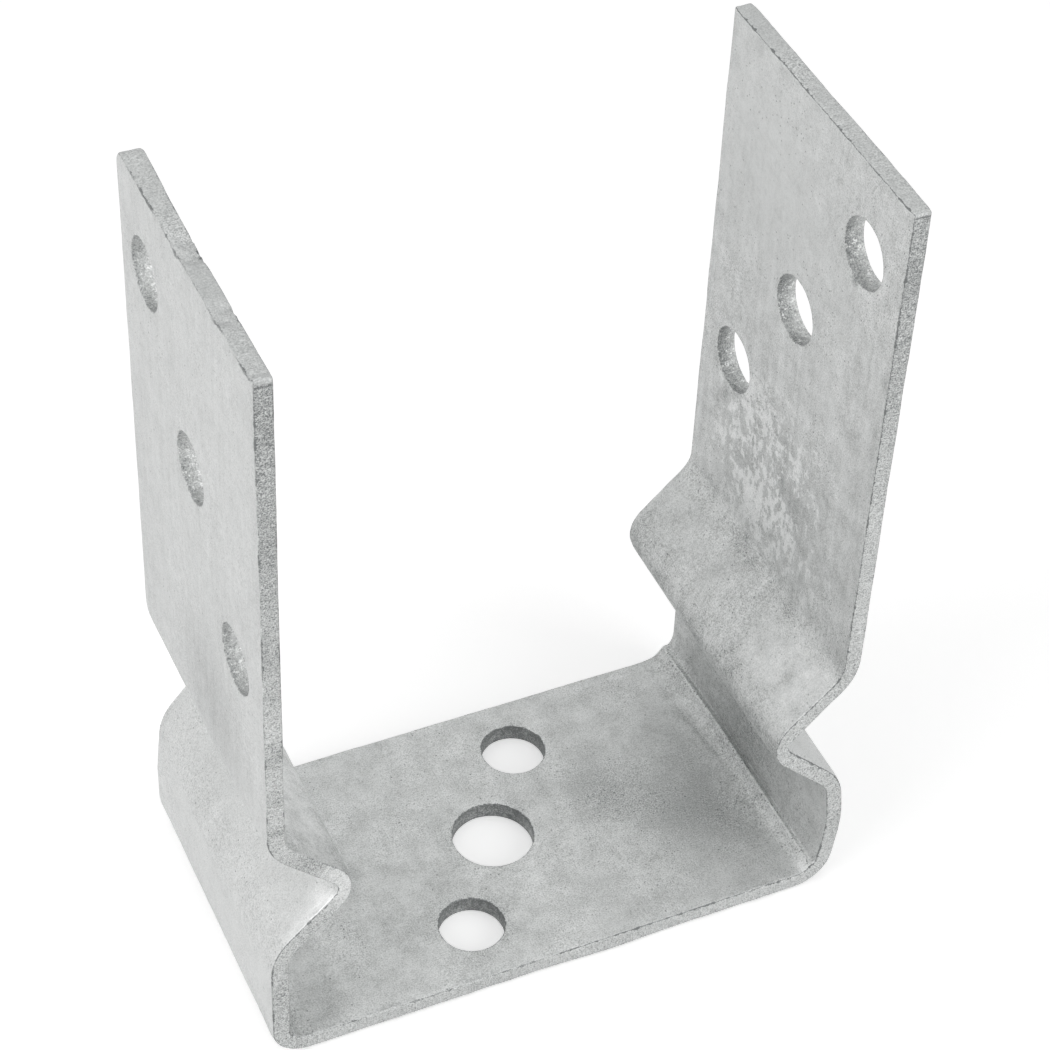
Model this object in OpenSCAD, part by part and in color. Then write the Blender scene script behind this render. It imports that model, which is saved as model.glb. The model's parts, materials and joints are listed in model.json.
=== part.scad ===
// Post base of one flat bar, folded to a U that stands on a slab and holds a timber post.
// The base is level, the bar comes up in a short wall, kinks inwards to a ridge that keeps
// the post's end off the slab, and goes on up as a leg. Millimetres, +Z up, the folds along
// Y, origin under the middle of the base.

/* [Flat bar] */
// Width of the bar, along the folds
bar_w = 60; // [54:1:80]
// Thickness of the bar
bar_t = 3.5; // [3:0.5:5]
// Rounding of the bar's two sheared ends, seen along the folds
end_edge_r = 0.5; // [0.3:0.1:1]
// Rounding of the legs' upper corners, seen from the side
end_corner_r = 1; // [0.5:0.5:6]

/* [Post seat] */
// Clear width between the legs, for a 100 mm post
post_gap = 102; // [92:1:142]
// Height of the legs' ends above the slab
height = 154; // [150:1:220]
// Height of the ridges above the slab
ridge_z = 40; // [38:1:46]
// How far each ridge stands in from its leg's inner face
ridge_in = 11.5; // [10:0.5:14]
// Slope of the kink's two flanks
flank_angle = 45; // [40:1:50]

/* [Folds] */
// Inside radius of the sharp folds, at the base and behind the ridge
sharp_in_r = 2; // [1.5:0.5:4]
// Outside radius of the sharp folds, larger than inside plus thickness: the press thins the bar
sharp_out_r = 7; // [6:0.5:8]
// Inside radius of the fold at the top of the wall
wall_in_r = 4; // [2:0.5:6]
// Outside radius of the fold at the top of the wall
wall_out_r = 11; // [8:0.5:12]
// Inside radius of the fold at the foot of the leg
leg_in_r = 6; // [3:0.5:8]
// Outside radius of the fold at the foot of the leg
leg_out_r = 10; // [8:0.5:12]

/* [Anchor holes] */
// Diameter of the middle hole in the base
anchor_d = 15; // [10:0.5:17]
// Diameter of the two holes beside it
side_anchor_d = 12; // [8:0.5:13]
// Place of the side holes along the base, from its middle
side_anchor_x = 12; // [10:0.5:20]
// Place of the side holes across the base, from its middle
side_anchor_y = 18; // [17:0.5:19]

/* [Post holes] */
// Diameter of the three holes in each leg
post_hole_d = 12; // [8:0.5:13]
// Step between them across the leg
post_hole_y = 18; // [15:0.5:19]
// Step between them down the leg
post_hole_step = 25; // [20:1:28]
// Distance of the top hole from the leg's end
post_hole_top = 16; // [12:1:20]

/* [Hidden] */

$fn = 72;
zinc = [0.72, 0.73, 0.73];

// Room for a drill to pass both faces of the bar
past = 1;
// A round is this much larger than its radius, so that it crosses the faces it meets
bite = 0.004;

// Heading of each run of the middle line, from the base to the leg: 0 is level, 90 is up
headings = [0, 90, 90 + flank_angle, 90 - flank_angle, 90];
// Rounds of the folds between the runs: on the post's side, and on the outer side
post_side_r = [sharp_in_r, wall_in_r, sharp_out_r, leg_in_r];
outer_side_r = [sharp_out_r, wall_out_r, sharp_in_r, leg_out_r];

// The folds' sharp corners, on the bar's middle line, and the ends of that line
middle_x = (post_gap + bar_t) / 2;
ridge_tip_x = post_gap / 2 - ridge_in;
ridge_x = ridge_tip_x - sharp_out_r * (1 / sin(flank_angle) - 1) + bar_t / 2 / sin(flank_angle);
flank_rise = (middle_x - ridge_x) / tan(90 - flank_angle);
middle_line = [
    [0, bar_t / 2],
    [middle_x, bar_t / 2],
    [middle_x, ridge_z - flank_rise],
    [ridge_x, ridge_z],
    [middle_x, ridge_z + flank_rise],
    [middle_x, height]
];
folds = [1:len(middle_line) - 2];

function turn(i) = headings[i] - headings[i - 1];

// The sharp corner of fold i on one face of the bar: side 1 is the post's, -1 the outer one
function face_corner(i, side) =
    let (normal = (headings[i] + headings[i - 1]) / 2 + 90)
    middle_line[i] + side * bar_t / 2 / cos(turn(i) / 2) * [cos(normal), sin(normal)];

function end_point(i, heading, side) =
    middle_line[i] + side * bar_t / 2 * [-sin(heading), cos(heading)];

// What lies between a corner and a round of radius r in it. The corner is at the origin, its
// two faces leave it towards the round's centre, which is on +X, and turn by the angle there
module web(angle, r) {
    centre = r / cos(angle / 2);
    spread = (r + past / 2) / r;
    difference() {
        translate([centre, 0])
            polygon(spread * [
                [0, 0],
                r * [-cos(angle / 2), sin(angle / 2)],
                [-centre, 0],
                r * [-cos(angle / 2), -sin(angle / 2)]
            ]);
        translate([centre, 0])
            circle(r + bite);
    }
}

// The web in fold i on one face of the bar
module fold_web(i, side) {
    inside = sign(turn(i));
    bisector = (headings[i] + headings[i - 1]) / 2 + 90 * inside;
    translate(face_corner(i, side))
        rotate(bisector)
            web(abs(turn(i)), side > 0 ? post_side_r[i - 1] : outer_side_r[i - 1]);
}

// The bar's half from the middle of the base to the end of the +X leg, seen along the folds,
// with sharp corners
module sharp_profile() {
    last = len(middle_line) - 1;
    polygon([
        end_point(0, headings[0], -1),
        for (i = folds) face_corner(i, -1),
        end_point(last, headings[last - 1], -1),
        end_point(last, headings[last - 1], 1),
        for (i = [last - 1:-1:1]) face_corner(i, 1),
        end_point(0, headings[0], 1)
    ]);
}

// The same half with its folds rounded: metal goes from the outside of each and comes to
// the inside
module folded_profile() {
    difference() {
        sharp_profile();
        for (i = folds)
            fold_web(i, -sign(turn(i)));
        for (side = [-1, 1])
            translate([middle_x + side * bar_t / 2, height])
                rotate(-90 - side * 45)
                    web(90, end_edge_r);
    }
    for (i = folds)
        fold_web(i, sign(turn(i)));
}

module folded_bar() {
    rotate([90, 0, 0])
        linear_extrude(bar_w, center = true)
            for (side = [0, 1])
                mirror([side, 0])
                    folded_profile();
}

// What goes from the upper corners of both legs
module leg_corners() {
    for (side = [-1, 1])
        translate([0, side * bar_w / 2, height])
            rotate([90, 0, 90])
                linear_extrude(2 * (middle_x + bar_t), center = true)
                    rotate(-90 - side * 45)
                        web(90, end_corner_r);
}

// The middle anchor hole and the two beside it, on a diagonal of the base
module anchor_holes() {
    for (k = [-1, 0, 1])
        translate([k * side_anchor_x, k * side_anchor_y, -past])
            cylinder(d = k == 0 ? anchor_d : side_anchor_d, h = bar_t + 2 * past);
}

// The three holes in the +X leg, down a diagonal from its front edge
module post_holes() {
    for (k = [-1, 0, 1])
        translate([post_gap / 2 - past, k * post_hole_y, height - post_hole_top - (k + 1) * post_hole_step])
            rotate([0, 90, 0])
                cylinder(d = post_hole_d, h = bar_t + 2 * past);
}

module bracket() {
    color(zinc)
        difference() {
            folded_bar();
            leg_corners();
            anchor_holes();
            for (half_turn = [0, 180])
                rotate([0, 0, half_turn])
                    post_holes();
        }
}

bracket();
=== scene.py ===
import json
import math
from typing import NamedTuple

import bpy
from mathutils import Matrix, Vector


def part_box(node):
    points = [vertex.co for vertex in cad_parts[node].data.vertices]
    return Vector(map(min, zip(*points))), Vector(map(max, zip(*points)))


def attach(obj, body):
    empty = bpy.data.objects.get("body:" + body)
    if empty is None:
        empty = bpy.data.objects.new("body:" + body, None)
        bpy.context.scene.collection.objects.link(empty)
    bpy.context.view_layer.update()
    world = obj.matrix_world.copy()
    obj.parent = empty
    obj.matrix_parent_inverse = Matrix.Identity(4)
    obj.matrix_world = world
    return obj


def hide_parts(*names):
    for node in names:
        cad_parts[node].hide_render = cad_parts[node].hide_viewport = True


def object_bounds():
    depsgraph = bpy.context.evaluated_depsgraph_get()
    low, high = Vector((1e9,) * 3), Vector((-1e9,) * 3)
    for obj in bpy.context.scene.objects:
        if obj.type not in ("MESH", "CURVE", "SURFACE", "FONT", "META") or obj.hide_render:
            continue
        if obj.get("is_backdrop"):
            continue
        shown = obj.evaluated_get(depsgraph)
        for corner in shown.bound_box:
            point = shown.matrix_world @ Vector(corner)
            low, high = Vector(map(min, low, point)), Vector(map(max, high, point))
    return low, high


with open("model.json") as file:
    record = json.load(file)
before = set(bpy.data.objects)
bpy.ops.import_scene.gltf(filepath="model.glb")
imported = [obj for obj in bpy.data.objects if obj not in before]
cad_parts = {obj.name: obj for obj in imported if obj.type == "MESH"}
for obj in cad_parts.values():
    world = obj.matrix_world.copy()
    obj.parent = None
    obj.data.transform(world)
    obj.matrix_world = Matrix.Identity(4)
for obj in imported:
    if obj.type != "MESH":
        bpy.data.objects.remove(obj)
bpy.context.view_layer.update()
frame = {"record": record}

bl_info = {
    "name": "Folded post base",
    "version": (1, 0, 0),
    "blender": (4, 5, 0),
    "location": "3D View > Sidebar > Post base",
    "description": "A galvanised post base, punched from flat bar and folded to a U",
    "category": "Add Mesh",
}

MM = 0.001
BAR_LOW, BAR_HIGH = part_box("bracket")
MOUNTS = {mount["name"]: mount for mount in frame["record"]["mounts"]}

# Stains, painted shade and painted highlights of the unfolded bar by face: place along it and across it, and
# reach, all in millimetres, and the change of tone
MARKS = {
    "post": (
        # Darker patches on the right half of the base, towards the right wall
        (41, -10, 17, -0.23),
        (42, 5, 11, -0.09),
        (23, 2.5, 13, -0.21),
        (30, -6, 14, -0.14),
        (-42, -25.5, 6.5, -0.15),
        (-29.7, -2.8, 2.6, -0.14),
        (-27.2, 0.6, 2.4, -0.16),
        (-13.9, -26, 6, -0.12),
        (-15.4, 7.5, 6, -0.08),
        # Painted shade on the right wall under the ridge, and painted light towards the wall's near end
        (62, 0, 17, -0.27),
        (64, 17, 11, -0.07),
        (65, -10, 11, -0.06),
        (67, -25, 9, 0.12),
        # Painted light on the base beside the left wall, where the wall shades it
        (-47, -15, 15, 0.18),
        # Painted light on the left leg's inner flank, which lies in shade
        (-106, -14, 20, 0.20),
        # Painted highlights on the right leg's inner flank by the near edge, and at the near end of the base
        # fold
        (105, -21, 15, 0.27),
        (51.5, -28, 3, 0.35),
        (112, -27, 5, 0.25),
        (194, -16.5, 1.8, -0.40),
    ),
    "outer": (
        # Painted highlight on the left notch's lower flank by the near edge, near the ridge's tip
        (-91, -29.5, 6, 0.55),
        (-84, -30, 5, 0.15),
        (-128, -5, 26, -0.16),
    ),
    "edge": (
        (-97, -30, 9, 0.38),
        (-103, -30, 5, 0.10),
        (-139, -30, 4, -0.16),
        (-129, -30, 3, -0.14),
        (-67, -30, 7, -0.10),
        (-160, -30, 9, -0.10),
        (-186, -30, 12, -0.08),
        (-145, -30, 4, 0.10),
        (-153, -30, 4, -0.10),
        (-121, -30, 1.6, -0.20),
        (-109, -30, 6, -0.16),
        (205, -30, 6, -0.10),
        (66, -30, 6, -0.10),
    ),
}
# Middle of the flaky patch on the unfolded right leg
FLAKES_AT = Vector((0.136, 0.002, 0.0))
# Places nearer than this are one
TOUCHING = 1e-6
# Sizes of the zinc's clouds, stains, flecks and grain, and of the rags along its cut edges
CLOUD_SIZE, STAIN_SIZE, FLECK_SIZE, GRAIN_SIZE, RAG_SIZE = 17 * MM, 4.6 * MM, 0.9 * MM, 0.27 * MM, 1.3 * MM
# The nicks and the burr in the left leg's end: middle across the bar, and half width
NICKS_AT = ((1 * MM, 7 * MM), (-14 * MM, 4 * MM))
BURR_AT = (-29.7 * MM, 0.9 * MM)
# The run of zinc along the base's near edge: middle along the bar, and half width
RUN_AT = (11 * MM, 14 * MM)

# The floor: half its side, how far it lies below the part, and where its glow begins and is full
FLOOR_HALF = 3.0
FLOOR_GAP = 0.05 * MM
GLOW_FROM, GLOW_TO = 0.3, 1.6
# The camera's right and up directions, its sensor, and the nearest and farthest that it sees
CAMERA_RIGHT = Vector((0.91288, -0.40662, 0.03625))
CAMERA_UP = Vector((0.25482, 0.63696, 0.72756))
SENSOR_WIDTH = 36.0
CAMERA_CLIP = (0.01, 20.0)


def length_prop(name, description, default):
    return bpy.props.FloatProperty(
        name=name, description=description, default=default, subtype="DISTANCE", unit="LENGTH", precision=5)


def power_prop(name, description, default):
    return bpy.props.FloatProperty(name=name, description=description, default=default, unit="POWER")


def share_prop(name, description, default):
    return bpy.props.FloatProperty(name=name, description=description, default=default, min=0.0, max=2.0)


def colour_prop(name, description, default):
    return bpy.props.FloatVectorProperty(
        name=name, description=description, default=default, subtype="COLOR", size=3, min=0.0, max=1.0)


class BarSizes(bpy.types.PropertyGroup):
    """Sizes of the folded flat bar."""

    thickness: length_prop(
        "Thickness", "Thickness of the flat bar", MOUNTS["anchor_hole"]["dims"]["length_mm"] * MM)
    edge_round: length_prop("Edge round", "Round of the sheared edges and the zinc on them", 0.45 * MM)
    corner_round: length_prop(
        "Corner round", "Round of the legs' upper corners, seen from the side", 0.55 * MM)
    hole_round: length_prop("Hole rim round", "Round of the punched holes' rims", 0.22 * MM)
    ridge_height: length_prop("Ridge height", "Height of the ridges above the slab", 40 * MM)
    ridge_in: length_prop("Ridge depth", "How far each ridge stands in from its leg's inner face", 11.5 * MM)
    flank_angle: bpy.props.FloatProperty(
        name="Flank angle", description="Slope of the kink's two flanks", default=math.radians(45),
        subtype="ANGLE")
    sharp_in: length_prop("Sharp fold, inside", "Inside radius of the sharp folds", 2 * MM)
    sharp_out: length_prop("Sharp fold, outside", "Outside radius of the sharp folds", 7 * MM)
    wall_in: length_prop("Wall fold, inside", "Inside radius of the fold at the top of the wall", 4 * MM)
    wall_out: length_prop("Wall fold, outside", "Outside radius of the fold at the top of the wall", 11 * MM)
    leg_in: length_prop("Leg fold, inside", "Inside radius of the fold at the foot of the leg", 6 * MM)
    leg_out: length_prop("Leg fold, outside", "Outside radius of the fold at the foot of the leg", 10 * MM)
    side_hole_x: length_prop("Side holes, along", "Place of the base's side holes along it", 12 * MM)
    side_hole_y: length_prop("Side holes, across", "Place of the base's side holes across it", 18 * MM)
    crease_height: length_prop("Crease height", "How far the press raised the base along its folds", 2.2 * MM)
    far_fillet: length_prop("Far fillet", "Extra metal in the base folds at their far end", 1.7 * MM)
    wall_bulge: length_prop("Wall bulge", "How far the walls stand out of flat", 1.0 * MM)
    roll_over: length_prop("Roll-over", "How far the faces fall at the sheared edges", 0.16 * MM)
    worn_corner: length_prop("Worn corner", "Round of the left leg's far corner", 3.2 * MM)
    nicks: length_prop("Nicks", "Depth of the nicks in the left leg's end", 1.0 * MM)
    cell: length_prop("Mesh cell", "Size of the mesh's cells on the flat runs", 0.82 * MM)


class ZincLook(bpy.types.PropertyGroup):
    """Colours and relief of the zinc coat."""

    zinc: colour_prop("Zinc", "Colour of the dull zinc coat", (0.60, 0.613, 0.607))
    # Bright zinc also colours the painted highlights
    bright: colour_prop("Bright zinc", "Colour of fresh flakes and rubbed edges", (0.835, 0.845, 0.842))
    # Dark zinc also colours the painted shade and painted shadow lines
    dark: colour_prop("Dark zinc", "Colour of pits, cracks and stains", (0.20, 0.21, 0.21))
    metallic: share_prop("Metallic", "How metallic the dull coat looks", 0.45)
    roughness: share_prop("Roughness", "Roughness of the coat on the flat runs", 0.5)
    relief: length_prop("Relief", "Height of the coat's lumps and hollows", 0.35 * MM)
    ripple: length_prop("Edge ripple", "Height of the ripples in the sheared edges", 0.3 * MM)
    seed: bpy.props.FloatProperty(name="Seed", description="Draw of the coat's lumps and nicks", default=3.0)


class StageLook(bpy.types.PropertyGroup):
    """Floor, lamps and camera."""

    floor: colour_prop("Floor", "Colour of the floor", (0.86, 0.86, 0.86))
    side_lamp: power_prop("Side lamp", "Power of the lamp at the left", 2.95)
    top_lamp: power_prop("Top lamp", "Power of the lamp overhead", 1.5)
    front_lamp: power_prop("Front lamp", "Power of the lamp before the object, at the right", 2.8)
    ambient: share_prop("Ambient", "Strength of the light from all round", 0.42)
    lens: bpy.props.FloatProperty(
        name="Lens", description="Focal length for a sensor 36 mm wide", default=105.384,
        subtype="DISTANCE_CAMERA")
    eye: bpy.props.FloatVectorProperty(
        name="Eye", description="Where the camera stands", default=(-0.16091, -0.33745, 0.43377),
        subtype="TRANSLATION")


def math_method(operation, flip=False):
    """A method of Wire that adds a node for this operation on it and the others."""
    def method(self, *others):
        return self.combine(operation, *others, flip=flip)
    return method


class Wire:
    """A node's output, which adds Math or Vector Math nodes when it is used in an expression."""

    def __init__(self, net, socket):
        self.net = net
        self.socket = socket

    def is_vector(self):
        return self.socket.type in {"VECTOR", "RGBA"}

    def combine(self, operation, *others, flip=False):
        """A Math node of this and the others, or a Vector Math node where one of them is a vector."""
        terms = [self, *others]
        if flip:
            terms.reverse()
        vectors = [
            t for t in terms if isinstance(t, (tuple, Vector)) or isinstance(t, Wire) and t.is_vector()]
        kind = "ShaderNodeVectorMath" if vectors else "ShaderNodeMath"
        return self.net.out(kind, {"operation": operation}, dict(enumerate(terms)))

    __add__ = math_method("ADD")
    __radd__ = math_method("ADD", flip=True)
    __sub__ = math_method("SUBTRACT")
    __rsub__ = math_method("SUBTRACT", flip=True)
    __mul__ = math_method("MULTIPLY")
    __rmul__ = math_method("MULTIPLY", flip=True)
    __truediv__ = math_method("DIVIDE")
    __rtruediv__ = math_method("DIVIDE", flip=True)
    __pow__ = math_method("POWER")
    __abs__ = math_method("ABSOLUTE")
    __gt__ = math_method("GREATER_THAN")
    __lt__ = math_method("LESS_THAN")
    least = math_method("MINIMUM")
    most = math_method("MAXIMUM")
    sign = math_method("SIGN")
    sine = math_method("SINE")
    cosine = math_method("COSINE")
    tangent = math_method("TANGENT")
    unit = math_method("NORMALIZE")

    def __neg__(self):
        return self * -1.0

    def clamped(self, low=0.0, high=1.0):
        return self.most(low).least(high)

    def length(self):
        return self.net.out("ShaderNodeVectorMath", {"operation": "LENGTH"}, {0: self}, "Value")

    def scaled(self, factor):
        return self.net.out("ShaderNodeVectorMath", {"operation": "SCALE"}, {0: self, "Scale": factor})

    def part(self, axis):
        return self.net.out("ShaderNodeSeparateXYZ", {}, {0: self}, "XYZ".index(axis))

    def ramp(self, low, high, first=0.0, last=1.0):
        """Rises smoothly from first to last as the value goes from low to high."""
        return self.net.out("ShaderNodeMapRange", {"interpolation_type": "SMOOTHSTEP"}, {
            0: self, 1: low, 2: high, 3: first, 4: last})

    def hill(self, centre, half_width):
        """1 at the centre, smoothly down to 0 at half_width either way."""
        return abs(self - centre).ramp(0.0, half_width, 1.0, 0.0)


class Net:
    """A node tree that is being built, in rows of nodes."""

    ROW = 24
    STEP = (180, -220)

    def __init__(self, tree):
        self.tree = tree

    def node(self, kind, settings=None, values=None):
        """Adds a node, sets its settings first, and then the values or links of its sockets."""
        made = self.tree.nodes.new(kind)
        row, column = divmod(len(self.tree.nodes), self.ROW)
        made.location = (column * self.STEP[0], row * self.STEP[1])
        for name, value in (settings or {}).items():
            setattr(made, name, value)
        for key, value in (values or {}).items():
            self.feed(made.inputs[key], value)
        return made

    def feed(self, socket, value):
        if isinstance(value, Wire):
            self.tree.links.new(value.socket, socket)
        elif isinstance(value, (int, float)) and socket.type == "VECTOR":
            socket.default_value = (value, value, value)
        else:
            socket.default_value = value

    def out(self, kind, settings=None, values=None, output=0):
        """Adds a node and returns one of its outputs."""
        return Wire(self, self.node(kind, settings, values).outputs[output])

    def vector(self, x, y, z):
        return self.out("ShaderNodeCombineXYZ", {}, {0: x, 1: y, 2: z})

    def mix(self, factor, a, b):
        """a at factor 0 and b at factor 1, as numbers or as vectors."""
        if any(isinstance(t, Wire) and t.is_vector() for t in (a, b)):
            return self.out("ShaderNodeMix", {"data_type": "VECTOR"}, {0: factor, 4: a, 5: b}, 1)
        return self.out("ShaderNodeMix", {"data_type": "FLOAT"}, {0: factor, 2: a, 3: b})

    def noise(self, place, size, detail=2.0, roughness=0.5, seed=None):
        """Cloudy noise from 0 to 1, whose lumps are about size across."""
        values = {"Vector": place, "Scale": 1.0 / size, "Detail": detail, "Roughness": roughness}
        if seed is None:
            return self.out("ShaderNodeTexNoise", {}, values)
        return self.out("ShaderNodeTexNoise", {"noise_dimensions": "4D"}, {**values, "W": seed})


def new_object(name, data):
    """An object of that data, put in the scene."""
    made = bpy.data.objects.new(name, data)
    bpy.context.scene.collection.objects.link(made)
    return made


def new_group(name, inputs, outputs):
    """A node group with named sockets: returns its net, its inputs by name, and its output node."""
    tree = bpy.data.node_groups.new(name, "GeometryNodeTree")
    for way, sockets in (("INPUT", inputs), ("OUTPUT", outputs)):
        for label, kind in sockets:
            tree.interface.new_socket(label, in_out=way, socket_type="NodeSocket" + kind)
    net = Net(tree)
    entry = net.node("NodeGroupInput")
    wires = {socket.name: Wire(net, socket) for socket in entry.outputs if socket.name}
    return net, wires, net.node("NodeGroupOutput")


def store(net, geometry, name, value, kind="FLOAT", domain="POINT"):
    return net.out("GeometryNodeStoreNamedAttribute", {"data_type": kind, "domain": domain}, {
        "Geometry": geometry, "Name": name, "Value": value})


def read(net, name, kind="FLOAT"):
    return net.out("GeometryNodeInputNamedAttribute", {"data_type": kind}, {"Name": name})


def square_to_round(net, place, reach):
    """The unit direction in which a point of a square of that reach goes, as the square becomes a disc."""
    return place.scaled(math.pi / 4).scaled(1.0 / reach).tangent().unit()


def punch_group():
    """Opens a round hole in the sheet: cells round its centre are pushed onto circles."""
    net, given, result = new_group(
        "Punch a hole",
        [("Place", "Vector"), ("Rim", "Vector"), ("Gap", "Float"), ("Cell", "Vector"),
         ("Centre cell", "Vector"), ("Centre", "Vector"), ("Radius", "Float"), ("Rim round", "Float"),
         ("Inner cells", "Float"), ("Outer cells", "Float")],
        [("Place", "Vector"), ("Rim", "Vector"), ("Gap", "Float"), ("Waste", "Float")])
    offset = given["Cell"] - given["Centre cell"]
    reach = abs(offset.part("X")).most(abs(offset.part("Y"))).most(0.001)
    direction = square_to_round(net, offset, reach)
    inner, outer = given["Inner cells"], given["Outer cells"]
    pull = ((outer - reach) / (outer - inner)).clamped()
    on_rim = given["Centre"] + direction.scaled(given["Radius"] + given["Rim round"])
    on_border = given["Centre"] + (given["Place"] - given["Centre"]).scaled((outer / reach).most(1.0))
    here = net.mix(pull, on_border, on_rim)
    gap = (here - given["Centre"]).length() - given["Radius"]
    is_rim = reach < inner + 0.5
    rim = net.mix(is_rim, given["Rim"], direction.scaled(-1.0 * given["Rim round"]))
    net.feed(result.inputs["Place"], here)
    net.feed(result.inputs["Rim"], rim)
    net.feed(result.inputs["Gap"], given["Gap"].least(gap))
    net.feed(result.inputs["Waste"], reach < inner)
    return net.tree


def fold_group():
    """Folds what lies beyond a place on the bar, and rounds the fold on both faces."""
    net, given, result = new_group(
        "Fold the bar",
        [("Post side", "Vector"), ("Outer side", "Vector"), ("Along", "Float"), ("Place", "Float"),
         ("Angle", "Float"), ("Post-side radius", "Float"), ("Outer-side radius", "Float"),
         ("Thickness", "Float")],
        [("Post side", "Vector"), ("Outer side", "Vector"), ("Bend", "Float")])
    place, angle, along = given["Place"], given["Angle"], given["Along"]
    slope = (angle / 2).tangent()
    way = angle.sign()
    faces = [("Post side", "Post-side radius", given["Thickness"] / 2),
             ("Outer side", "Outer-side radius", given["Thickness"] / -2)]
    reaches = [given[radius] * abs(slope) + depth * slope for _, radius, depth in faces]
    half = reaches[0].most(reaches[1])
    share = ((along - place) / half).clamped(-1.0, 1.0)
    is_fold = abs(along - place) < half
    is_beyond = along > place
    for (face, radius_name, depth), reach in zip(faces, reaches):
        radius = given[radius_name]
        half_arc = radius * abs(angle) / 2
        walked = share * (half - reach + half_arc)
        on_arc = walked.most(-half_arc).least(half_arc)
        beyond_arc = walked - on_arc
        heading = angle / 2 + way * on_arc / radius
        x = place - depth * slope - radius * abs(slope)
        x = x + way * radius * heading.sine() + beyond_arc * heading.cosine()
        z = depth + way * radius * (1.0 - heading.cosine()) + beyond_arc * heading.sine()
        point = given[face]
        turned = net.out(
            "ShaderNodeVectorRotate", {"rotation_type": "Y_AXIS"},
            {"Vector": point, "Center": net.vector(place, 0.0, 0.0), "Angle": -angle})
        rounded = net.vector(x, point.part("Y"), z)
        net.feed(result.inputs[face], net.mix(is_fold, net.mix(is_beyond, point, turned), rounded))
    net.feed(result.inputs["Bend"], abs(along - place).ramp(half * 0.5, half * 1.6, 1.0, 0.0))
    return net.tree


class Stretch(NamedTuple):
    """A stretch of the blank's mesh between two stops."""

    first_cell: int
    length: float
    cells: int


def stretches(stops, cell):
    """Stretches between the stops in order, without repeats, each with cells of about that size."""
    kept = []
    for stop in sorted(stops):
        if not kept or stop - kept[-1] > TOUCHING:
            kept.append(stop)
    found = []
    first_cell = 0
    for low, high in zip(kept, kept[1:]):
        cells = max(1, round((high - low) / cell))
        found.append(Stretch(first_cell, high - low, cells))
        first_cell += cells
    return found


def cell_at(parts, place):
    """The number of the cell line at a place on the blank."""
    reached = 0.0
    for part in parts:
        if place <= reached + part.length + TOUCHING:
            return part.first_cell + round((place - reached) / part.length * part.cells)
        reached += part.length
    raise ValueError("this place is off the blank")


def place_of(net, parts, cell):
    """The place on the blank of a cell line, as nodes."""
    place = 0.0
    for part in parts:
        within = (cell - float(part.first_cell)).clamped(0.0, float(part.cells))
        place = within * (part.length / part.cells) + place
    return place


class Fold(NamedTuple):
    """A fold of the bar: its place on the blank, its turn, and its rounds on both faces."""

    name: str
    place: float
    angle: float
    post_radius: float
    outer_radius: float

    def half_reach(self, thickness):
        """How far the fold reaches either way on the blank."""
        slope = math.tan(self.angle / 2)
        return max(self.post_radius * abs(slope) + thickness / 2 * slope,
                   self.outer_radius * abs(slope) - thickness / 2 * slope)


class Hole(NamedTuple):
    """A punched hole on the blank."""

    name: str
    along: float
    across: float
    radius: float


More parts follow.
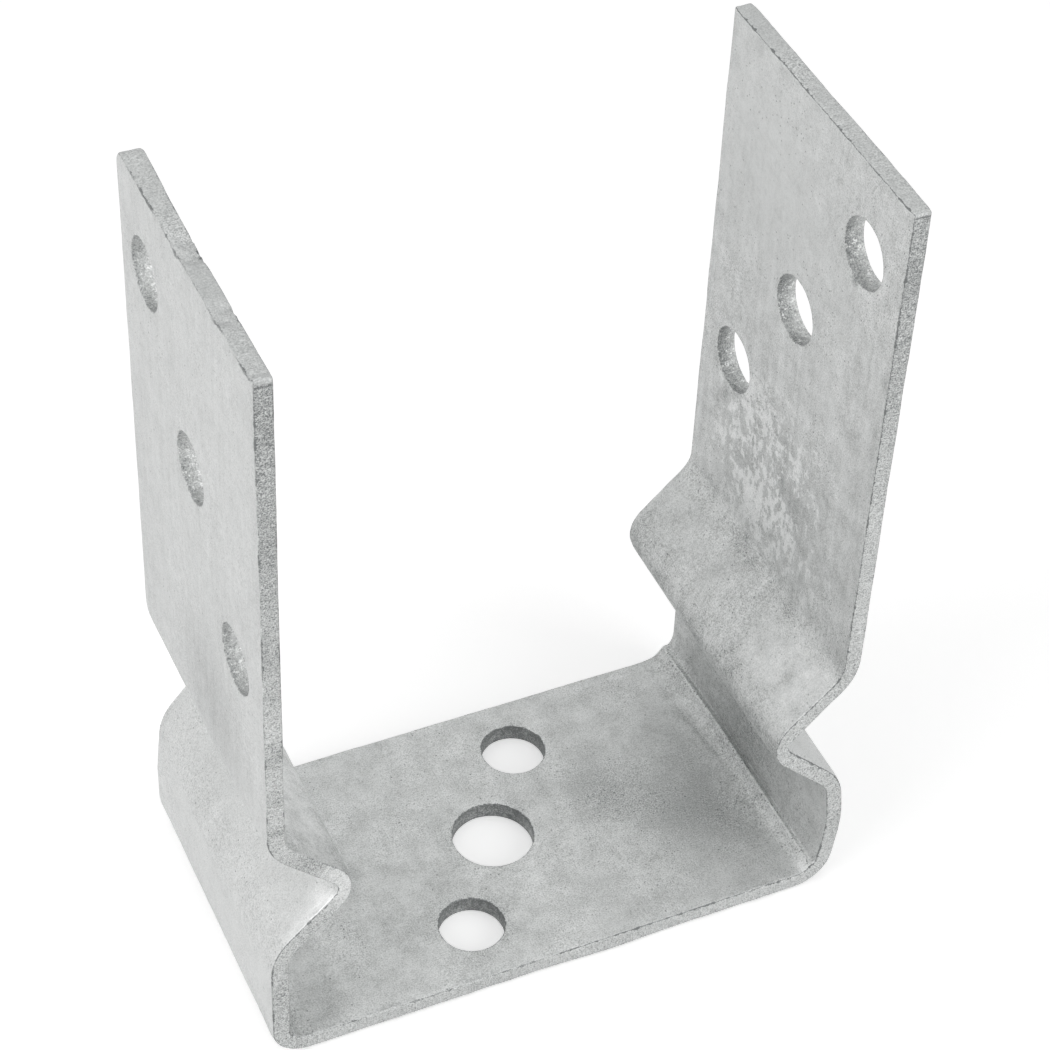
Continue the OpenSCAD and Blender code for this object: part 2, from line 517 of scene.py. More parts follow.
class Blank:
    """The unfolded bar: where its folds and holes lie, measured along the bar from its middle."""

    # Cells in the rounded border, and from a hole's centre to where the grid is square again
    EDGE_CELLS = 3
    HOLE_CELLS = 11

    def __init__(self, sizes):
        t = sizes.thickness
        angle = sizes.flank_angle
        self.width = BAR_HIGH.y - BAR_LOW.y
        self.middle_x = (BAR_HIGH.x - BAR_LOW.x - t) / 2
        tip_x = self.middle_x - t / 2 - sizes.ridge_in
        ridge_x = tip_x - sizes.sharp_out * (1 / math.sin(angle) - 1) + t / 2 / math.sin(angle)
        rise = (self.middle_x - ridge_x) * math.tan(angle)
        flank = math.hypot(self.middle_x - ridge_x, rise)
        wall_top = self.middle_x + sizes.ridge_height - rise - t / 2
        self.leg_foot_z = sizes.ridge_height + rise
        self.leg_place = wall_top + 2 * flank
        self.half_length = self.leg_place + BAR_HIGH.z - self.leg_foot_z
        self.folds = [
            Fold("Base fold", self.middle_x, math.radians(90), sizes.sharp_in, sizes.sharp_out),
            Fold("Wall fold", wall_top, angle, sizes.wall_in, sizes.wall_out),
            Fold("Ridge fold", wall_top + flank, -2 * angle, sizes.sharp_out, sizes.sharp_in),
            Fold("Leg fold", self.leg_place, angle, sizes.leg_in, sizes.leg_out),
        ]
        self.holes = list(self.find_holes(sizes))
        self.corner_start = sizes.corner_round - sizes.edge_round
        stops = {0.0, self.half_length - sizes.corner_round}
        for fold in self.folds:
            stops |= {fold.place - fold.half_reach(t), fold.place + fold.half_reach(t)}
        stops |= {abs(hole.along) for hole in self.holes}
        self.along_parts = stretches(stops, sizes.cell)
        side_stops = {0.0, self.width / 2 - sizes.corner_round} | {abs(hole.across) for hole in self.holes}
        self.across_parts = stretches(side_stops, sizes.cell)

    def find_holes(self, sizes):
        """The holes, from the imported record's mounts."""
        for name, mount in MOUNTS.items():
            x, y, z = mount["pos_m"]
            if mount["kind"] == "bolt_pattern":
                for side, way in (("left", -1), ("right", 1)):
                    radius = mount["dims"]["hole_r_mm"] * MM
                    yield Hole(f"{name}_{side}", way * sizes.side_hole_x, way * sizes.side_hole_y, radius)
            elif name == "anchor_hole":
                yield Hole(name, x, y, mount["dims"]["r_mm"] * MM)
            elif mount["kind"] == "bore":
                place = self.leg_place + z - self.leg_foot_z
                for side, way in (("left", -1), ("right", 1)):
                    if x * way >= 0:
                        yield Hole(f"{name}_{side}", way * place, y, mount["dims"]["r_mm"] * MM)

    def half_cells(self, parts):
        """How many cells lie from the blank's middle to its rim, that way."""
        return parts[-1].first_cell + parts[-1].cells + self.EDGE_CELLS

    def inputs(self, sizes, look):
        """Every size that the tree is given, by the name of its input."""
        given = {
            "Thickness": sizes.thickness, "Half width": self.width / 2, "Half length": self.half_length,
            "Edge round": sizes.edge_round, "Corner start": self.corner_start,
            "Hole round": sizes.hole_round, "Crease height": sizes.crease_height,
            "Far fillet": sizes.far_fillet, "Wall bulge": sizes.wall_bulge, "Roll-over": sizes.roll_over,
            "Worn corner": sizes.worn_corner, "Nicks": sizes.nicks, "Relief": look.relief,
            "Ripple": look.ripple, "Seed": look.seed,
        }
        for fold in self.folds:
            given[f"{fold.name} place"] = fold.place
            given[f"{fold.name} angle"] = fold.angle
            given[f"{fold.name} post-side radius"] = fold.post_radius
            given[f"{fold.name} outer-side radius"] = fold.outer_radius
        for hole in self.holes:
            given[f"{hole.name} along"] = hole.along
            given[f"{hole.name} across"] = hole.across
            given[f"{hole.name} radius"] = hole.radius
        return given


def blank_sheet(net, given, sizes, blank, punch):
    """The punched sheet, one face of the blank: returns its geometry."""
    half_i = blank.half_cells(blank.along_parts)
    half_j = blank.half_cells(blank.across_parts)
    sheet = net.out("GeometryNodeMeshGrid", {}, {
        "Size X": 2.0 * half_i, "Size Y": 2.0 * half_j,
        "Vertices X": 2 * half_i + 1, "Vertices Y": 2 * half_j + 1})
    cell = net.out("GeometryNodeInputPosition")
    i, j = cell.part("X"), cell.part("Y")
    edge = float(blank.EDGE_CELLS)
    corner = net.vector(
        ((abs(i) - (half_i - edge)) / edge).clamped(), ((abs(j) - (half_j - edge)) / edge).clamped(), 0.0)
    reach = corner.part("X").most(corner.part("Y"))
    outwards = square_to_round(net, corner, reach.most(0.001))
    signs = net.vector(i.sign(), j.sign(), 1.0)
    place = net.vector(
        place_of(net, blank.along_parts, abs(i)), place_of(net, blank.across_parts, abs(j)),
        given["Thickness"] / 2)
    place = (place + outwards.scaled(reach * given["Corner start"])) * signs
    rim = (outwards * signs).scaled(given["Edge round"])
    gap = 1.0
    waste = 0.0
    for hole in blank.holes:
        centre_cell = (
            math.copysign(cell_at(blank.along_parts, abs(hole.along)), hole.along),
            math.copysign(cell_at(blank.across_parts, abs(hole.across)), hole.across), 0.0)
        centre = net.vector(given[f"{hole.name} along"], given[f"{hole.name} across"], given["Thickness"] / 2)
        inner_cells = min(blank.HOLE_CELLS - 3, round(0.92 * hole.radius / sizes.cell))
        punched = net.node("GeometryNodeGroup", {"node_tree": punch}, {
            "Place": place, "Rim": rim, "Gap": gap, "Cell": cell, "Centre cell": centre_cell,
            "Centre": centre, "Radius": given[f"{hole.name} radius"], "Rim round": given["Hole round"],
            "Inner cells": float(inner_cells), "Outer cells": float(blank.HOLE_CELLS)})
        place, rim, gap = (Wire(net, punched.outputs[name]) for name in ("Place", "Rim", "Gap"))
        waste = Wire(net, punched.outputs["Waste"]) + waste
    sheet = store(net, sheet, "rim", rim, "FLOAT_VECTOR")
    sheet = store(net, sheet, "hole_gap", gap)
    sheet = store(net, sheet, "waste", waste, domain="FACE")
    sheet = net.out("GeometryNodeSetPosition", {}, {"Geometry": sheet, "Position": place})
    is_waste = read(net, "waste") > 0.5
    return net.out("GeometryNodeDeleteGeometry", {"domain": "FACE"}, {
        "Geometry": sheet, "Selection": is_waste})


def close_sheet(net, sheet, round_rows=3, wall_rows=2):
    """Rounds the sheet's rims, runs the cut walls to the middle of the bar and mirrors the half."""
    faces = net.out("GeometryNodeInputMeshEdgeNeighbors", output="Face Count")
    edges = net.out("FunctionNodeCompare", {"data_type": "INT", "operation": "EQUAL"}, {2: faces, 3: 1})
    rim = read(net, "rim", "FLOAT_VECTOR")
    position = net.out("GeometryNodeInputPosition")
    shell = sheet
    for row in range(round_rows + wall_rows):
        pulled = net.node("GeometryNodeExtrudeMesh", {"mode": "EDGES"}, {
            "Mesh": shell, "Selection": edges, "Offset Scale": 0.0})
        shell, edges = Wire(net, pulled.outputs["Mesh"]), Wire(net, pulled.outputs["Top"])
        if row < round_rows:
            low, high = (math.radians(90) * n / round_rows for n in (row, row + 1))
            out = rim.scaled(math.sin(high) - math.sin(low))
            drop = rim.length() * (math.cos(high) - math.cos(low))
            there = position + out + net.vector(0.0, 0.0, drop)
        else:
            left = round_rows + wall_rows - row
            there = position * (1.0, 1.0, (left - 1) / left)
        shell = net.out("GeometryNodeSetPosition", {}, {
            "Geometry": shell, "Selection": edges, "Position": there})
    other = net.out("GeometryNodeTransform", {}, {"Geometry": shell, "Scale": (1.0, 1.0, -1.0)})
    other = net.out("GeometryNodeFlipFaces", {}, {"Mesh": other})
    joined = net.node("GeometryNodeJoinGeometry")
    for half in (shell, other):
        net.tree.links.new(half.socket, joined.inputs[0])
    seam = abs(position.part("Z")) < TOUCHING
    return net.out("GeometryNodeMergeByDistance", {}, {
        "Geometry": Wire(net, joined.outputs[0]), "Selection": seam, "Distance": TOUCHING})


class Lay:
    """Where a point lies on the unfolded bar, as nodes."""

    def __init__(self, given, lay):
        self.lay = lay
        self.along, self.across, self.depth = (lay.part(axis) for axis in "XYZ")
        self.distance = abs(self.along)
        self.is_left = self.along < 0.0
        self.is_right = self.along > 0.0
        self.post_share = self.depth / given["Thickness"] + 0.5
        self.side_gap = given["Half width"] - abs(self.across)
        self.end_gap = given["Half length"] - self.distance
        self.near = self.across.ramp(-28 * MM, -6 * MM, 1.0, 0.0)
        self.far = self.across.ramp(6 * MM, 28 * MM)


def worn_outline(net, given, lay):
    """The blank as sheared and dipped: wavy edges, a worn corner, nicks, a burr and a run of zinc."""
    wave = net.noise(lay.lay, 8 * MM, 4.0, 0.6, seed=given["Seed"]) - 0.5
    edge = lay.side_gap.ramp(0.0, 3 * MM, 1.0, 0.0)
    end = lay.end_gap.ramp(0.0, 3 * MM, 1.0, 0.0)
    out = lay.across.sign()
    into_end = (given["Worn corner"] - lay.end_gap).most(0.0)
    into_side = (given["Worn corner"] - lay.side_gap).most(0.0)
    into_corner = net.vector(into_end, into_side, 0.0)
    pull = (into_end.most(into_side) / into_corner.length().most(1e-5) - 1.0) * lay.is_left
    pull = pull * (lay.across > 0.0)
    rough = net.noise(lay.lay, 1.8 * MM, 3.0, 0.7, seed=given["Seed"]).ramp(0.38, 0.66)
    nicked = lay.across.hill(*NICKS_AT[0]).most(lay.across.hill(*NICKS_AT[1])) * lay.is_left * end
    burr = lay.across.hill(*BURR_AT) * lay.is_left * lay.end_gap.ramp(0.0, 0.6 * MM, 1.0, 0.0)
    run = lay.along.hill(*RUN_AT) * lay.post_share.ramp(0.0, 0.55, 1.0, 0.0) * (lay.across < 0.0)
    across = lay.across + out * (into_side * pull + edge * given["Ripple"] * (wave * 0.8 + run))
    distance = lay.distance + into_end * pull + end * given["Ripple"] * wave * 2.0
    distance = distance + (burr * (rough * 0.5 + 0.35) - nicked * rough) * given["Nicks"]
    return distance, across


def pressed_shape(net, given, lay, post, outer):
    """What the press left: a crease along the base fold, a round far end, barrelled walls, rolled edges."""
    through = (post - outer).unit()
    fold = given["Base fold place"]
    start = net.mix(lay.near, fold - 10 * MM, fold - 4.5 * MM)
    climb = (((lay.distance - start) / (fold - start)).clamped() ** 1.3) * lay.distance.ramp(
        fold + 0.3 * MM, fold + 2.8 * MM, 1.0, 0.0)
    lean = lay.distance.ramp(fold - 5 * MM, fold)
    lean = lean * lay.distance.ramp(fold + 0.4 * MM, fold + 2.4 * MM, 1.0, 0.0)
    crease = given["Crease height"] * (1.0 - lay.near * 0.65) * (1.0 - lay.far * 0.6)
    fillet = given["Far fillet"] * lay.far * lay.distance.hill(fold, 8 * MM)
    raised = net.vector(
        (lean * crease * 0.42 + fillet * 0.7) * -1.0, 0.0, climb * crease + fillet * 0.7)
    raised = raised.scaled(lay.post_share)
    inwards = 1.0 - lay.post_share * 2.0
    wall = given["Wall fold place"]
    bulge = given["Wall bulge"] * (
        lay.distance.hill(wall - 11 * MM, 13 * MM) * lay.is_right * lay.near * -1.0
        + lay.distance.hill(wall - 1 * MM, 13 * MM) * lay.is_left * lay.far * 0.8)
    rolled = given["Roll-over"] * lay.side_gap.ramp(0.2 * MM, 1.6 * MM, 1.0, 0.0) * inwards
    breaks = net.noise(lay.lay, 2.2 * MM, 4.0, 0.7, seed=given["Seed"]).ramp(0.42, 0.56)
    groove = given["Roll-over"] * lay.side_gap.least(lay.end_gap).hill(0.66 * MM, 0.3 * MM) * breaks * inwards
    swollen = given["Roll-over"] * lay.end_gap.ramp(0.0, 9 * MM, 3.0, 0.0) * lay.far
    swollen = swollen * lay.is_left * lay.post_share
    return raised + through.scaled(bulge + rolled + groove * 0.6 + swollen)


def fold_blank(net, given, shell, blank, fold):
    """Folds the flat blank from its ends to its middle, as nodes."""
    flat = net.out("GeometryNodeInputPosition")
    shell = store(net, shell, "blank", flat, "FLOAT_VECTOR")
    lay = Lay(given, read(net, "blank", "FLOAT_VECTOR"))
    distance, across = worn_outline(net, given, lay)
    post = net.vector(distance, across, given["Thickness"] / 2)
    outer = net.vector(distance, across, given["Thickness"] / -2)
    bend = 0.0
    for bent in reversed(blank.folds):
        step = net.node("GeometryNodeGroup", {"node_tree": fold}, {
            "Post side": post, "Outer side": outer, "Along": distance, "Thickness": given["Thickness"],
            **{size: given[f"{bent.name} {size.lower()}"]
               for size in ("Place", "Angle", "Post-side radius", "Outer-side radius")}})
        post, outer = (Wire(net, step.outputs[name]) for name in ("Post side", "Outer side"))
        bend = Wire(net, step.outputs["Bend"]).most(bend)
    folded = net.mix(lay.post_share, outer, post) + net.vector(0.0, 0.0, given["Thickness"] / 2)
    folded = folded + pressed_shape(net, given, lay, post, outer)
    sides = net.vector(lay.along.sign(), 1.0, 1.0)
    shell = store(net, shell, "bend", bend)
    return net.out("GeometryNodeSetPosition", {}, {"Geometry": shell, "Position": folded * sides})


def zinc_relief(net, given, shell):
    """Lumps and hollows of the dipped coat, and the torn grain of the cut walls."""
    place = net.out("GeometryNodeInputPosition")
    normal = net.out("GeometryNodeInputNormal")
    depth = abs(read(net, "blank", "FLOAT_VECTOR").part("Z")) / given["Thickness"]
    is_cut = depth.ramp(0.36, 0.46, 1.0, 0.0)
    hollows = net.noise(place, 13 * MM, 3.0, 0.55, seed=given["Seed"]) - 0.5
    torn = net.noise(place, 1.7 * MM, 3.0, 0.65, seed=given["Seed"]) - 0.5
    height = given["Relief"] * hollows + is_cut * given["Ripple"] * torn
    return net.out("GeometryNodeSetPosition", {}, {"Geometry": shell, "Offset": normal.scaled(height)})


def bar_tree(inputs, sizes, blank, material):
    """The whole bracket as one tree: punched sheet, closed blank, folds, zinc."""
    net, given, result = new_group(
        "Post base", [("Geometry", "Geometry"), *((name, "Float") for name in inputs)],
        [("Geometry", "Geometry")])
    sheet = blank_sheet(net, given, sizes, blank, punch_group())
    shell = close_sheet(net, sheet)
    shell = fold_blank(net, given, shell, blank, fold_group())
    shell = zinc_relief(net, given, shell)
    shell = net.out("GeometryNodeSetShadeSmooth", {}, {"Geometry": shell, "Shade Smooth": True})
    shell = net.out("GeometryNodeRealizeInstances", {}, {"Geometry": shell})
    shell = net.out("GeometryNodeSetMaterial", {}, {"Geometry": shell, "Material": material})
    net.feed(result.inputs["Geometry"], shell)
    return net.tree


def grown_mesh(name, tree, inputs):
    """A plain mesh object that holds what the tree makes from those inputs."""
    carrier = new_object(name + "_carrier", bpy.data.meshes.new(name + "_carrier"))
    modifier = carrier.modifiers.new("Shape", "NODES")
    modifier.node_group = tree
    for socket in tree.interface.items_tree:
        if socket.name in inputs:
            modifier[socket.identifier] = inputs[socket.name]
    bpy.context.view_layer.update()
    seen = carrier.evaluated_get(bpy.context.evaluated_depsgraph_get())
    mesh = bpy.data.meshes.new_from_object(seen)
    mesh.name = name
    bpy.data.objects.remove(carrier)
    return new_object(name, mesh)


class Coat:
    """Where a point of the zinc lies on the unfolded bar, with shared noises and masks, as shader nodes."""

    def __init__(self, net, sizes, blank):
        self.net = net
        self.place = net.out("ShaderNodeTexCoord", output="Object")
        self.lay, self.bend, self.hole_gap = (
            net.out("ShaderNodeAttribute", {"attribute_name": name}, output=output)
            for name, output in (("blank", "Vector"), ("bend", "Fac"), ("hole_gap", "Fac")))
        self.along, self.across, self.depth = (self.lay.part(axis) for axis in "XYZ")
        self.distance = abs(self.along)
        self.half = sizes.thickness / 2
        self.post_side = self.depth > 0.0
        self.outer_side = self.depth < 0.0
        self.is_left = self.along < 0.0
        self.on_leg = self.distance.ramp(blank.leg_place - 4 * MM, blank.leg_place + 4 * MM)
        self.calm = 1.0 - (self.outer_side * (0.2 + self.on_leg * 0.25)).most(
            self.spot(195 * MM, 14 * MM, 42 * MM) * self.post_side * 0.75)
        self.base_fold = blank.folds[0].place
        self.ridge_fold = blank.folds[2].place
        self.wall = self.distance.hill(self.base_fold + 11 * MM, 12 * MM) * self.post_side
        self.end_gap = blank.half_length - self.distance
        self.cloud = self.cloudy(self.place, CLOUD_SIZE, 2.0)
        self.stain = self.cloudy(self.place, STAIN_SIZE, 4.0, 0.7)
        self.fleck = self.cloudy(self.place, FLECK_SIZE, 1.0, 0.6)
        self.grain = self.cloudy(self.place, GRAIN_SIZE, 1.0, 0.7)
        self.ragged = self.cloudy(self.lay, RAG_SIZE, 3.0, 0.7)
        edge_gap = (blank.width / 2 - abs(self.across)).least(self.end_gap)
        self.in_hole = self.hole_gap < 1.6 * sizes.hole_round
        rim_gap = edge_gap.least(self.hole_gap - sizes.hole_round) - (self.half - abs(self.depth))
        self.past_rim = rim_gap + self.ragged * (0.55 * MM) - self.in_hole * (0.06 * MM)
        self.cut = self.past_rim.ramp(-0.15 * MM, -0.03 * MM, 1.0, 0.0)
        self.straight_cut = rim_gap.ramp(-0.15 * MM, -0.03 * MM, 1.0, 0.0)

    def cloudy(self, place, size, detail=2.0, roughness=0.5):
        """Cloudy noise about 0."""
        return self.net.noise(place, size, detail, roughness) - 0.5

    def spot(self, along, across, reach):
        """1 at a place on the unfolded bar, down to 0 at that reach."""
        flat = self.lay * (1.0, 1.0, 0.0) - (along, across, 0.0)
        return flat.length().ramp(0.0, reach, 1.0, 0.0)

    def marks(self, face):
        """The change of tone from the stains, painted shade and painted highlights on one face."""
        change = 0.0
        for along, across, reach, tone in MARKS[face]:
            change = self.spot(along * MM, across * MM, reach * MM) * tone + change
        return change * (self.stain * 2.4 + 0.8).clamped(0.0, 1.4)


def sandy_zones(coat):
    """Where the coat is coarse: round the folds and the holes, and in loose patches."""
    patches = (coat.cloud + coat.stain * 0.6).ramp(-0.05, 0.14)
    near_holes = coat.hole_gap.ramp(0.0, 4 * MM, 0.7, 0.0)
    return patches.most(coat.bend * 0.95).most(near_holes) * coat.calm


def pit_dots(coat, zones):
    """Small round pits, more of them in the sandy zones, and most along the crease over the base fold."""
    net = coat.net
    crowd = coat.distance.hill(coat.base_fold + 0.2 * MM, 1.5 * MM) * coat.post_side
    cells = net.node("ShaderNodeTexVoronoi", {}, {"Vector": coat.place, "Scale": 1 / (0.7 * MM)})
    chance = Wire(net, cells.outputs["Color"]).part("X")
    kept = chance > (0.98 - 0.16 * zones - 0.45 * crowd - coat.wall * 0.14)
    return Wire(net, cells.outputs["Distance"]).ramp(0.12, 0.3, 1.0, 0.0) * kept * (0.5 + 0.5 * crowd)


def dark_and_shadow_lines(coat):
    """Broken dark lines: painted shadow of the shear's lip between the faces and the sheared edges, a line
    along the crease over the base fold, a soft painted shade line where the base starts to climb, and lines
    by the legs' ends.
    """
    favoured = (coat.post_side * (coat.along > 0.0)).most(coat.outer_side * (1.0 - coat.on_leg))
    strength = (coat.stain * 3.2 + 0.35 + 0.45 * favoured).clamped(0.0, 1.0) * (coat.hole_gap > 1 * MM)
    width = 0.15 * MM + (coat.stain + coat.ragged).clamped(0.0, 0.3) * (2.0 * MM)
    # Painted shadow of the shear's lip along the rims of the faces
    edge = (abs(coat.past_rim + 0.02 * MM) / width).ramp(0.2, 1.0, 1.0, 0.0)
    wander = coat.distance - coat.base_fold + coat.ragged * (1.0 * MM)
    crease = wander.hill(0.9 * MM, 0.3 * MM) * (coat.stain * 4.0 + 0.2).clamped(0.0, 0.5)
    slant = coat.along + coat.across * 0.1
    # A soft painted shade line where the base starts to climb towards the crease
    climb_shade_line = slant.hill(47 * MM, 0.9 * MM) * coat.across.hill(8 * MM, 15 * MM) * 0.22
    corner = coat.end_gap.hill(0.8 * MM, 0.35 * MM) * (coat.stain * 3.0 + 0.45).clamped() * coat.cut
    return (edge * strength).most(corner * (coat.across < 0.0)).most(crease.most(climb_shade_line) * coat.post_side)


def zinc_flakes(coat):
    """Paler flakes with sharp borders, drawn out along the leg, thick in one place of the right leg."""
    shapes = coat.cloudy(coat.lay * (0.65, 1.0, 1.0), 1.6 * MM, 4.0, 0.66)
    middle = (coat.lay - FLAKES_AT) * (0.85, 0.8, 0.0)
    crowd = middle.length().ramp(6 * MM, 24 * MM, 1.0, 0.0) * coat.post_side
    level = shapes + coat.stain * 0.7 + coat.cloud * 0.7 + crowd * 0.19
    return level.ramp(0.15, 0.19) * coat.calm, crowd


def dipped_face(coat, zones):
    """Tone and height of the coat on the flat runs and the folds, with painted shade and painted highlights.
    """
    streak = coat.cloudy(coat.lay * (0.09, 1.0, 1.0), 1.2 * MM, 3.0, 0.6) * coat.on_leg
    flakes, crowd = zinc_flakes(coat)
    tone = (coat.cloud * 0.28 + coat.stain * (0.4 + 0.3 * coat.post_side) + streak * 0.31) * coat.calm
    tone = tone + coat.fleck * (0.16 + 0.16 * zones + 0.2 * coat.wall)
    tone = tone + coat.grain * (0.85 + 0.5 * zones) * coat.calm
    tone = tone + flakes * (0.04 + 0.26 * crowd) - crowd * 0.08 - zones * 0.03
    # Stains, painted shade and painted highlights from the marks
    tone = tone + coat.marks("post") * coat.post_side + coat.marks("outer") * coat.outer_side
    tone = tone + coat.outer_side * (0.05 - coat.on_leg * 0.07)
    # Painted shade on the ridge's round, partly smoother zinc; rim is a painted highlight along the crest
    # over the base fold
    ridge_shade = (coat.distance + coat.ragged * (3 * MM)).hill(coat.ridge_fold - 0.5 * MM, 3.2 * MM)
    rim = coat.distance.hill(coat.base_fold + 0.3 * MM, 0.5 * MM)
    tone = tone + (rim * 0.12 - ridge_shade * 0.13) * coat.post_side
    rough = 0.7 + coat.bend * 0.5
    height = coat.grain * rough * (0.07 * MM) + coat.fleck * rough * (0.06 * MM)
    return tone, height


def sheared_edge(coat):
    """Tone and height of the bar's cut edges, with fine lines across the thickness; darker up the legs."""
    lines = coat.cloudy(coat.lay * (1.0, 1.0, 0.25), 0.34 * MM, 1.0, 0.7)
    up_leg = coat.end_gap.ramp(5 * MM, 75 * MM, 1.0, 0.0)
    on_end = coat.end_gap.ramp(0.0, 1 * MM, 1.0, 0.0)
    specks = (coat.fleck + coat.stain * 0.6).ramp(0.06, 0.16)
    on_base = coat.distance.ramp(44 * MM, 54 * MM, 0.3, 0.0)
    smooth = (on_end * (0.75 - coat.cloud * 3.0)).clamped().most(on_base)
    tone = lines * 0.5 + coat.grain * 1.5 + coat.fleck * 0.4 + coat.stain * 0.36 - specks * 0.18
    tone = tone * (1.0 - smooth * 0.7) + coat.cloud * 0.2 - up_leg * 0.19 + on_end * 0.13 - 0.04
    tone = tone + coat.marks("edge")
    height = lines * (0.07 * MM) + coat.grain * (0.1 * MM) + coat.fleck * (0.08 * MM)
    return tone, height * (1.0 - on_end * 0.35)


def punched_wall(coat):
    """Tone and height of the holes' walls: torn and dark at one face, smoother and paler beyond."""
    deep = coat.depth * (1.0 - coat.is_left * 2.0) * coat.on_leg * (-1.0 / coat.half)
    bright = (coat.fleck + coat.grain * 0.7 + deep * 0.04).ramp(0.17, 0.22) * coat.on_leg
    tone = coat.grain * 1.0 + coat.fleck * 0.35 + coat.stain * 0.6 + bright * 0.3
    tone = tone + deep * 0.15 - 0.22 - (1.0 - coat.on_leg) * 0.17 + coat.is_left * coat.on_leg * 0.12
    tone = tone - (coat.depth * (1.0 / coat.half)).clamped() * (1.0 - coat.on_leg) * 0.1
    return tone, coat.grain * (0.1 * MM) + coat.fleck * (0.08 * MM)


def zinc_colour(net, look, tone):
    """Dark zinc at a tone of -0.5, the dull coat at 0 and bright zinc at 0.5."""
    node = net.node("ShaderNodeValToRGB", {}, {0: tone + 0.5})
    stops = node.color_ramp.elements
    stops.new(0.5)
    for stop, colour in zip(stops, (look.dark, look.zinc, look.bright)):
        stop.color = (*colour, 1.0)
    return Wire(net, node.outputs[0])


def zinc_material(look, sizes, blank):
    """Dull hot-dip zinc: clouds, streaks, flakes, sand and pits, with darker sheared edges, and painted
    shade, highlights and shadow lines.
    """
    material = bpy.data.materials.new("galvanised_zinc")
    material.use_nodes = True
    net = Net(material.node_tree)
    shader = material.node_tree.nodes["Principled BSDF"]
    coat = Coat(net, sizes, blank)
    zones = sandy_zones(coat)
    pits = pit_dots(coat, zones)
    lines = dark_and_shadow_lines(coat)
    face_tone, face_height = dipped_face(coat, zones)
    edge_tone, edge_height = sheared_edge(coat)
    hole_tone, hole_height = punched_wall(coat)
    cut_tone = net.mix(coat.in_hole, edge_tone, hole_tone)
    cut_height = net.mix(coat.in_hole, edge_height, hole_height)
    # face_tone carries the marks' painted shade and highlights; lines adds the painted shadow lines
    tone = net.mix(coat.cut, face_tone - pits * 0.75, cut_tone).least(0.5) - lines * 0.65
    height = net.mix(coat.straight_cut, face_height, cut_height)
    net.feed(shader.inputs["Base Color"], zinc_colour(net, look, tone))
    shader.inputs["Metallic"].default_value = look.metallic
    net.feed(shader.inputs["Roughness"], (look.roughness - tone * 0.35).clamped(0.25, 0.85))
    bump = net.out("ShaderNodeBump", {}, {"Strength": 1.0, "Distance": 1.0, "Height": height}, "Normal")
    net.feed(shader.inputs["Normal"], bump)
    return material


class POSTBASE_OT_bracket(bpy.types.Operator):
    """Punch, fold and galvanise the bracket"""

    bl_idname = "postbase.bracket"
    bl_label = "Bracket"

    def execute(self, context):
        sizes, look = context.scene.post_base_bar, context.scene.post_base_zinc
        blank = Blank(sizes)
        inputs = blank.inputs(sizes, look)
        tree = bar_tree(inputs, sizes, blank, zinc_material(look, sizes, blank))
        piece = grown_mesh("galvanised_bracket", tree, inputs)
        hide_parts("bracket")
        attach(piece, "root")
        return {"FINISHED"}


class LampPlace(NamedTuple):
    """Where a square soft lamp hangs, where it points, its side and its colour."""

    place: tuple
    target: tuple
    side: float
    colour: tuple = (1.0, 1.0, 1.0)


LAMPS = {
    "side_lamp": LampPlace((-0.75, -0.15, 0.45), (0, 0, 0.06), 0.7, (1.0, 0.98, 0.985)),
    "top_lamp": LampPlace((-0.05, 0.1, 0.9), (0, 0, 0.0), 0.8),
    "front_lamp": LampPlace((0.45, -0.75, 0.45), (0, 0, 0.04), 0.7),
}


def hang_lamp(name, where, power):
    data = bpy.data.lights.new(name, "AREA")
    data.energy = power
    data.color = where.colour
    data.size = where.side
    made = new_object(name, data)
    made.location = where.place
    made.rotation_euler = (Vector(where.target) - Vector(where.place)).to_track_quat("-Z", "Y").to_euler()


def seen_directly(net):
    """1 for what the camera sees, also in a reflection or through glass, and 0 for light on the object."""
    path = net.node("ShaderNodeLightPath")
    camera, glossy, through = (
        Wire(net, path.outputs[name]) for name in ("Is Camera Ray", "Is Glossy Ray", "Is Transmission Ray"))
    return camera.most(glossy).most(through)


def floor_material(look):
    """A matt pale floor that whitens with distance where it is seen, and keeps the object's shadow."""
    material = bpy.data.materials.new("pale_floor")
    material.use_nodes = True
    net = Net(material.node_tree)
    material.node_tree.nodes.clear()
    matt = net.out("ShaderNodeBsdfDiffuse", {}, {"Color": (*look.floor, 1.0)})
    reach = net.out("ShaderNodeTexCoord", output="Object").length()
    strength = seen_directly(net) * reach.ramp(GLOW_FROM, GLOW_TO, 0.4, 0.9)
    glow = net.out("ShaderNodeEmission", {}, {"Strength": strength})
    both = net.out("ShaderNodeAddShader", {}, {0: matt, 1: glow})
    net.node("ShaderNodeOutputMaterial", {}, {"Surface": both})
    return material


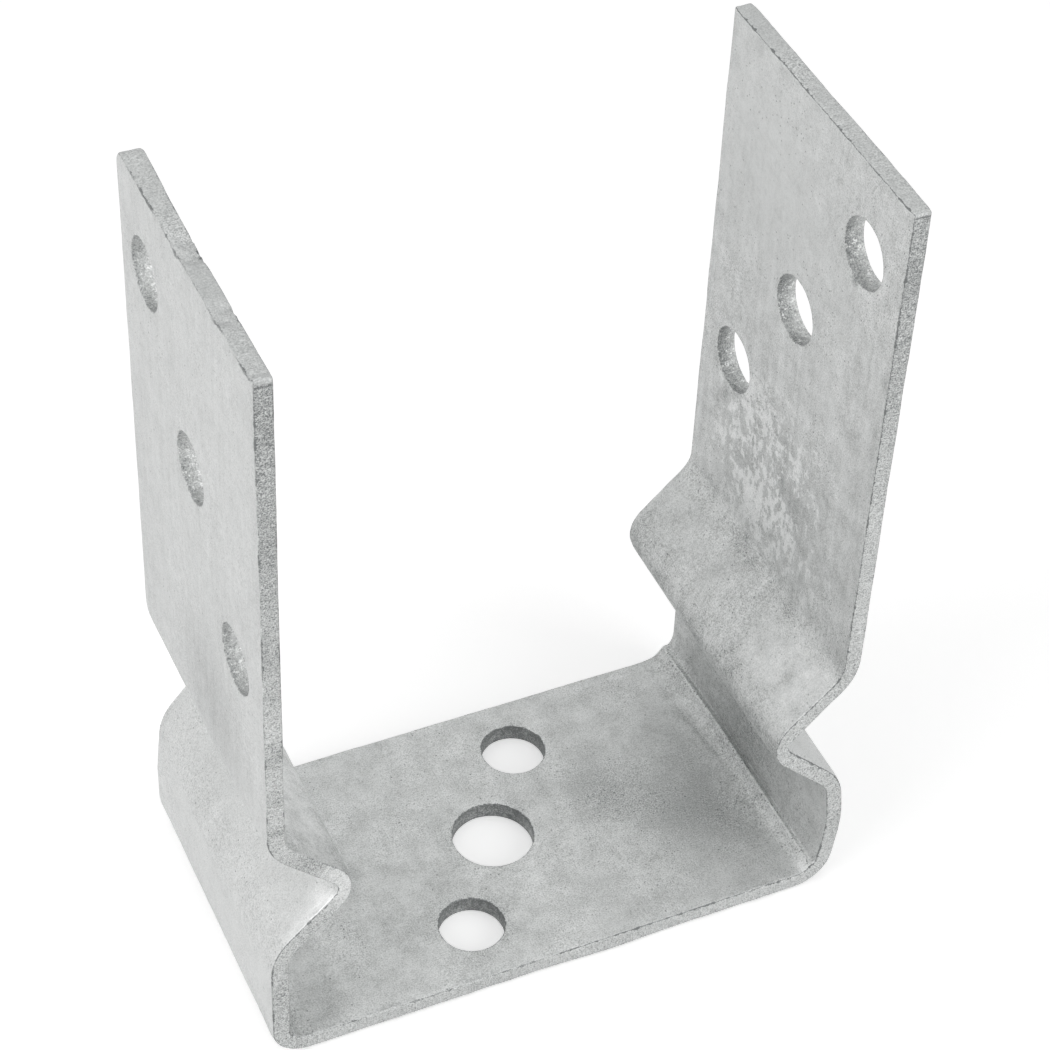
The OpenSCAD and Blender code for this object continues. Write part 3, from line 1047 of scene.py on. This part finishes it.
class POSTBASE_OT_stage(bpy.types.Operator):
    """Lay the floor, hang the lamps and set the camera"""

    bl_idname = "postbase.stage"
    bl_label = "Stage"

    def execute(self, context):
        look = context.scene.post_base_stage
        mesh = bpy.data.meshes.new("floor")
        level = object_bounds()[0][2] - FLOOR_GAP
        signs = ((-1, -1), (1, -1), (1, 1), (-1, 1))
        mesh.from_pydata([(x * FLOOR_HALF, y * FLOOR_HALF, level) for x, y in signs], [], [(0, 1, 2, 3)])
        mesh.materials.append(floor_material(look))
        new_object("floor", mesh)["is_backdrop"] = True
        for name, where in LAMPS.items():
            hang_lamp(name, where, getattr(look, name))
        set_world(look)
        set_camera(look)
        context.scene.view_settings.view_transform = "Standard"
        return {"FINISHED"}


def set_world(look):
    """Even light from all round, and a white background."""
    world = bpy.data.worlds.new("studio")
    bpy.context.scene.world = world
    world.use_nodes = True
    net = Net(world.node_tree)
    background = world.node_tree.nodes["Background"]
    background.inputs["Color"].default_value = (1.0, 1.0, 1.0, 1.0)
    net.feed(background.inputs["Strength"], net.mix(seen_directly(net), look.ambient, 1.0))


def set_camera(look):
    """The camera, at the photo's angle."""
    data = bpy.data.cameras.new("camera")
    data.sensor_width = SENSOR_WIDTH
    data.lens = look.lens
    data.clip_start, data.clip_end = CAMERA_CLIP
    camera = new_object("camera", data)
    back = CAMERA_RIGHT.cross(CAMERA_UP)
    turn = Matrix((CAMERA_RIGHT, back.cross(CAMERA_RIGHT), back)).transposed()
    camera.matrix_world = Matrix.Translation(look.eye) @ turn.to_4x4()
    bpy.context.scene.camera = camera


class POSTBASE_PT_panel(bpy.types.Panel):
    """The post base's pieces and sizes"""

    bl_label = "Post base"
    bl_idname = "POSTBASE_PT_panel"
    bl_space_type = "VIEW_3D"
    bl_region_type = "UI"
    bl_category = "Post base"

    def draw(self, context):
        for operator in (POSTBASE_OT_bracket, POSTBASE_OT_stage):
            self.layout.operator(operator.bl_idname)
        for group in GROUPS:
            box = self.layout.box()
            for name in GROUPS[group].__annotations__:
                box.prop(getattr(context.scene, group), name)


GROUPS = {"post_base_bar": BarSizes, "post_base_zinc": ZincLook, "post_base_stage": StageLook}
CLASSES = (*GROUPS.values(), POSTBASE_OT_bracket, POSTBASE_OT_stage, POSTBASE_PT_panel)


def register():
    for made in CLASSES:
        bpy.utils.register_class(made)
    for name, group in GROUPS.items():
        setattr(bpy.types.Scene, name, bpy.props.PointerProperty(type=group))


def unregister():
    for name in GROUPS:
        delattr(bpy.types.Scene, name)
    for made in reversed(CLASSES):
        bpy.utils.unregister_class(made)


def main():
    """Makes the bracket and the stage."""
    register()
    bpy.ops.postbase.bracket()
    bpy.ops.postbase.stage()


if __name__ == "__main__":
    main()
